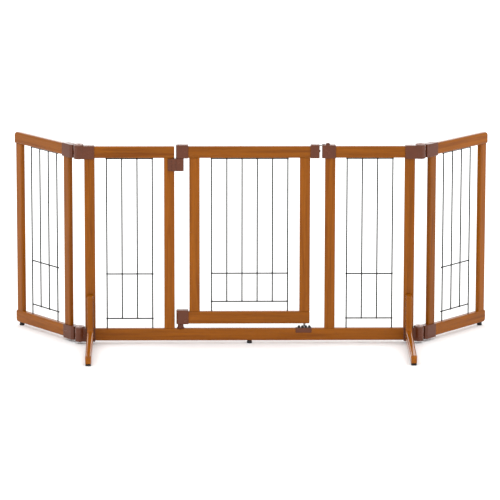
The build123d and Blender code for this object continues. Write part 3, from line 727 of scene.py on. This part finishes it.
def hinge_arm(wing, low, high):
    """The wing's half: sleeve and neck, then a bar that ends in an eye round the pin."""
    middle = (low + high) / 2
    eye_low, eye_high = middle - EYE_H / 2, middle + EYE_H / 2
    sleeve = new_shape(add_prism, wing,
                       [(ARM_NECK_U, -ARM_NECK_HALF, 1.6), (ARM_SHOULDER_U, -SLEEVE_HALF, 4),
                        (ARM_SLEEVE_END, -SLEEVE_HALF, 1.0), (ARM_SLEEVE_END, SLEEVE_HALF, 1.0),
                        (ARM_SHOULDER_U, SLEEVE_HALF, 4), (ARM_NECK_U, ARM_NECK_HALF, 1.6)],
                       low, high, SOFT, SOFT)
    bar = new_shape(add_prism, wing, box_plan(1, ARM_BAR_END, ARM_BAR_HALF, 0.3, 0.3),
                    eye_low + 0.05, eye_high - 0.05, 0.4, 0.4)
    eye = new_shape(add_lathe, wing, [(EYE_R - 0.4, eye_low), (EYE_R, eye_low + 0.4),
                                      (EYE_R, eye_high - 0.4), (EYE_R - 0.4, eye_high)])
    hole_r = HINGE_PIN_R + PIN_PLAY
    hole = new_shape(add_lathe, wing, [(hole_r, middle - 9), (hole_r, middle + 9)])
    return carve(sleeve, [("UNION", bar), ("UNION", eye), ("DIFFERENCE", hole)])


for side in SIDES:
    drum, wing = drum_place(side), wing_place(side)
    pins = bmesh.new()
    for level, (z0, z1) in LEVELS.items():
        low, high = z0 - WALL, z1 + WALL
        new_piece(f"{side}_bracket_{level}_made", hinge_bracket(drum, low, high), "frame",
                  [f"{side}_hinge_bracket_{level}"])
        add_lathe(pins, drum, [(HINGE_PIN_R, low + 0.1), (HINGE_PIN_R, high - 0.1)])
        add_lathe(pins, drum, disc(high))
        new_piece(f"{side}_arm_{level}_made", hinge_arm(wing, low, high), f"{side}_wing",
                  [f"{side}_wing_hinge_arm_{level}"])
    new_piece(f"{side}_discs_made", pins, "frame", [f"{side}_hinge_pins"])

# ---------------------------------------------------------------- door hinge parts
CAP_X0, CAP_X1 = -186.5, -155.5
CAP_BORE_R = 5.08
for level, z0, z1 in (("bottom", DOOR_Z0, DOOR_RAIL_TOP), ("top", RAIL_Z0, GATE_H)):
    cap = new_shape(add_prism, GATE, box_plan(CAP_X0, CAP_X1, SLEEVE_HALF, 6.0, 0.8),
                    z0 - 0.5, z1 + 4.0, SOFT, 2.5)
    bore = new_shape(add_lathe, GATE, [(CAP_BORE_R, z0 - 2), (CAP_BORE_R, z1 - 2)], DOOR_AXIS_X)
    cap = carve(cap, [("DIFFERENCE", bore)])
    new_piece(f"door_cap_{level}_made", cap, "door", [f"door_hinge_cap_{level}"])

# the bracket on the door post has a groove down each side and a flange on the post
BRACKET_HALF, GROOVE_HALF = 10.5, 9.6
BRACKET_Z0, BRACKET_Z1 = 447.0, 479.2
bracket_side = [(-197, BRACKET_HALF, 1.2), (-187.3, BRACKET_HALF, 0.5),
                (-186.2, GROOVE_HALF, 0.3), (-185.1, BRACKET_HALF, 0.5),
                (-166.8, BRACKET_HALF, 5)]
bracket_plan = [(x, -y, r) for x, y, r in bracket_side] + bracket_side[::-1]
bracket = new_shape(add_prism, GATE, bracket_plan, BRACKET_Z0, BRACKET_Z1, 0.8, 0.8)
flange = new_shape(add_prism, GATE, box_plan(-207, -194, 9.0, 0.8, 0.8),
                   BRACKET_Z0 + 1, BRACKET_Z1 - 1, 0.7, 0.7)
bracket = carve(bracket, [("UNION", flange)])
new_piece("door_bracket_made", bracket, "frame", ["door_hinge_bracket"])

# blocks on the sill: their sides are drawn in (y, z)
BLOCK_HALF, BLOCK_LOW, BLOCK_TOP, BLOCK_CORNER = 10.5, 28.5, 41.0, 5.5
BASE_X, TAIL_X, LATCH_BLOCK_X = (-188.5, -163.0), (-166.0, -148.0), (117.5, 158.2)
TAIL_HALF = 8.6
base = new_shape(add_plate, SIDE,
                 [(-BLOCK_HALF, 30.5, 0.8), (BLOCK_HALF, BLOCK_LOW, 0.8),
                  (BLOCK_HALF, BLOCK_TOP, BLOCK_CORNER), (-BLOCK_HALF, BLOCK_TOP, BLOCK_CORNER)],
                 *BASE_X, 1.0)
tail = new_shape(add_plate, SIDE,
                 [(-TAIL_HALF, 38.8, 0.3), (TAIL_HALF, 38.8, 0.3), (TAIL_HALF, BLOCK_LOW, 0.3),
                  (BLOCK_HALF, BLOCK_LOW, 0.6), (BLOCK_HALF, BLOCK_TOP, BLOCK_CORNER),
                  (-TAIL_HALF, BLOCK_TOP, 1.6)], *TAIL_X, 0.5)
stem = new_shape(add_lathe, GATE,
                 [(10.4, 39.6), (10.0, 41.0), (8.7, 41.8), (7.9, 43.2), (7.5, 45.6),
                  (7.4, 49.6), (6.9, 50.6), (5.5, 50.7)], DOOR_AXIS_X)
base = carve(base, [("UNION", tail), ("UNION", stem)])
new_piece("door_base_made", base, "frame", ["door_hinge_base"])

# ---------------------------------------------------------------- latch parts
block = new_shape(add_plate, SIDE,
                  [(-BLOCK_HALF, BLOCK_LOW, 1.5), (BLOCK_HALF, BLOCK_LOW, 1.5),
                   (BLOCK_HALF, BLOCK_TOP, BLOCK_CORNER), (-BLOCK_HALF, BLOCK_TOP, BLOCK_CORNER)],
                  *LATCH_BLOCK_X, 1.2)
new_piece("latch_block_made", block, "frame", ["sill_latch_block"])
TOOTH_X0, TOOTH_PITCH, TOOTH_Y = 126.4, 8.8, 4.5
TOOTH_PROFILE = [(3.7, 40.7), (3.5, 41.3), (3.1, 42.9), (2.8, 43.9), (2.1, 44.5), (1.0, 44.75)]
teeth = bmesh.new()
for index in range(4):
    for y in (-TOOTH_Y, TOOTH_Y):
        add_lathe(teeth, GATE, TOOTH_PROFILE, TOOTH_X0 + index * TOOTH_PITCH, y, 20)
# the teeth belong to the brown plastic latch block but take the centre foot's dark finish: the
# dark colour is painted shade on them
new_piece("latch_teeth_made", teeth, "frame", ["sill_latch_block"],
          finish_of("centre_foot"))

LATCH_Z0 = 479.5
keeper = new_shape(add_prism, GATE, box_plan(182.7, 217.3, SLEEVE_HALF, 3.0, 1.0),
                   LATCH_Z0, 513.5, 1.2, 1.8)
tongue_slot = new_shape(add_prism, GATE, box_plan(178.0, 190.0, 6.0, 0.2, 0.2),
                        509.6, 520.0, CUT_BEVEL, CUT_BEVEL)
keeper = carve(keeper, [("DIFFERENCE", tongue_slot)])
new_piece("keeper_made", keeper, "frame", ["latch_keeper"])
KNOB_X = 197.5
knob = new_shape(add_lathe, GATE,
                 [(5.4, 513.4), (5.6, 513.8), (5.6, 514.4), (5.1, 514.9), (5.0, 515.6),
                  (4.5, 516.6), (3.4, 517.4), (2.0, 517.8), (0.7, 517.95)], KNOB_X)
new_piece("knob_made", knob, "frame", ["keeper_knob"])
cap = new_shape(add_prism, GATE, box_plan(153.5, 176.7, SLEEVE_HALF, 0.8, 3.0),
                LATCH_Z0, 514.0, 1.4, 2.4)
new_piece("latch_cap_made", cap, "door", ["door_latch_cap"])

# ---------------------------------------------------------------- bolt and screw heads
LEG_BOLT_Z = (74.0, 108.0)
SILL_SCREW_X, SILL_SCREW_Y, SILL_SCREW_Z = (-184.0, -152.0, 122.0, 153.5), 10.5, 31.5
FLANGE_SCREW_X, FLANGE_SCREW_Y, FLANGE_SCREW_Z = -200.0, 9.0, (452.5, 462.5)
BOLT_PROFILE = [(3.8, 6.2), (4.0, 6.5), (3.9, 7.6), (3.3, 8.5), (2.5, 8.9), (2.1, 8.7),
                (2.0, 7.6), (0.8, 7.4)]


def back_place(x, z):
    """Axes for a head on the back of the gate: it stands out backwards."""
    return Place((x, 0, z), (1, 0, 0), (0, 0, -1), (0, 1, 0))


def screw_profile(y):
    """A domed head with a small recess, standing on the surface at y."""
    return [(2.6, y - 0.1), (2.7, y + 0.2), (2.5, y + 0.9), (1.8, y + 1.5), (1.2, y + 1.6),
            (1.0, y + 0.9), (0.4, y + 0.8)]


bolts = bmesh.new()
for side in SIDES:
    for z in LEG_BOLT_Z:
        add_lathe(bolts, back_place(SIGN[side] * LEG_X, z), BOLT_PROFILE, segments=24)
new_piece("bolt_heads_made", bolts, "frame", ["leg_bolts"])
heads = bmesh.new()
spots = [(x, SILL_SCREW_Y, SILL_SCREW_Z) for x in SILL_SCREW_X]
spots += [(FLANGE_SCREW_X, FLANGE_SCREW_Y, z) for z in FLANGE_SCREW_Z]
for x, y, z in spots:
    add_lathe(heads, back_place(x, z), screw_profile(y), segments=20)
new_piece("screw_heads_made", heads, "frame", ["frame_screws"])

# ---------------------------------------------------------------- floor, light, camera
FLOOR_HALF = 30.0          # m
floor = bpy.data.meshes.new("floor")
floor.from_pydata([(-FLOOR_HALF, -FLOOR_HALF, 0), (FLOOR_HALF, -FLOOR_HALF, 0),
                   (FLOOR_HALF, FLOOR_HALF, 0), (-FLOOR_HALF, FLOOR_HALF, 0)], [], [(0, 1, 2, 3)])
floor_obj = bpy.data.objects.new("floor", floor)
bpy.context.collection.objects.link(floor_obj)
floor.materials.append(Nodes("floor_white").finish(srgb(250, 250, 250), 0.9))

world = bpy.data.worlds.new("studio")
bpy.context.scene.world = world
world.use_nodes = True
background = world.node_tree.nodes["Background"]
background.inputs["Color"].default_value = (1.0, 1.0, 1.0, 1.0)
background.inputs["Strength"].default_value = 0.95


def area_light(name, place, aim, size, power):
    """A rectangular lamp in metres and watts, aimed at a point and not seen itself."""
    data = bpy.data.lights.new(name, "AREA")
    data.shape = "RECTANGLE"
    data.size, data.size_y = size
    data.energy = power
    obj = bpy.data.objects.new(name, data)
    bpy.context.collection.objects.link(obj)
    obj.location = place
    obj.rotation_euler = (Vector(aim) - Vector(place)).to_track_quat("-Z", "Y").to_euler()
    obj.visible_camera = False


area_light("sky", (0.0, 0.6, 5.0), (0, 0.6, 0.0), (16.0, 14.0), 430)
area_light("key", (-2.4, -3.4, 3.0), (0, 0, 0.2), (2.0, 2.0), 10)
area_light("strip_left", (-3.2, -1.6, 0.9), (0, 0, 0.25), (0.16, 2.4), 11)
area_light("strip_right", (3.2, -1.6, 0.9), (0, 0, 0.25), (0.16, 2.4), 15)
area_light("back_glow", (0, 3.6, 1.35), (0, 0, 0.4), (6.0, 0.9), 24)

CAM_PLACE = (-0.163, -9.3174, 2.1159)      # m
CAM_PITCH, CAM_YAW = 0.19845, 0.01726      # downwards and to the right, radians
CAM_ROLL = -0.0017
SENSOR_WIDTH = 36.0
LENS_PER_WIDTH = 7.4832    # focal length over sensor width
camera = bpy.data.cameras.new("camera")
camera_obj = bpy.data.objects.new("camera", camera)
bpy.context.collection.objects.link(camera_obj)
camera_obj.location = CAM_PLACE
camera_obj.rotation_euler = (pi / 2 - CAM_PITCH, CAM_ROLL, -CAM_YAW)
camera.sensor_width = SENSOR_WIDTH
camera.lens = LENS_PER_WIDTH * SENSOR_WIDTH
camera.clip_end = 100
bpy.context.scene.camera = camera_obj
bpy.context.scene.view_settings.view_transform = "Standard"
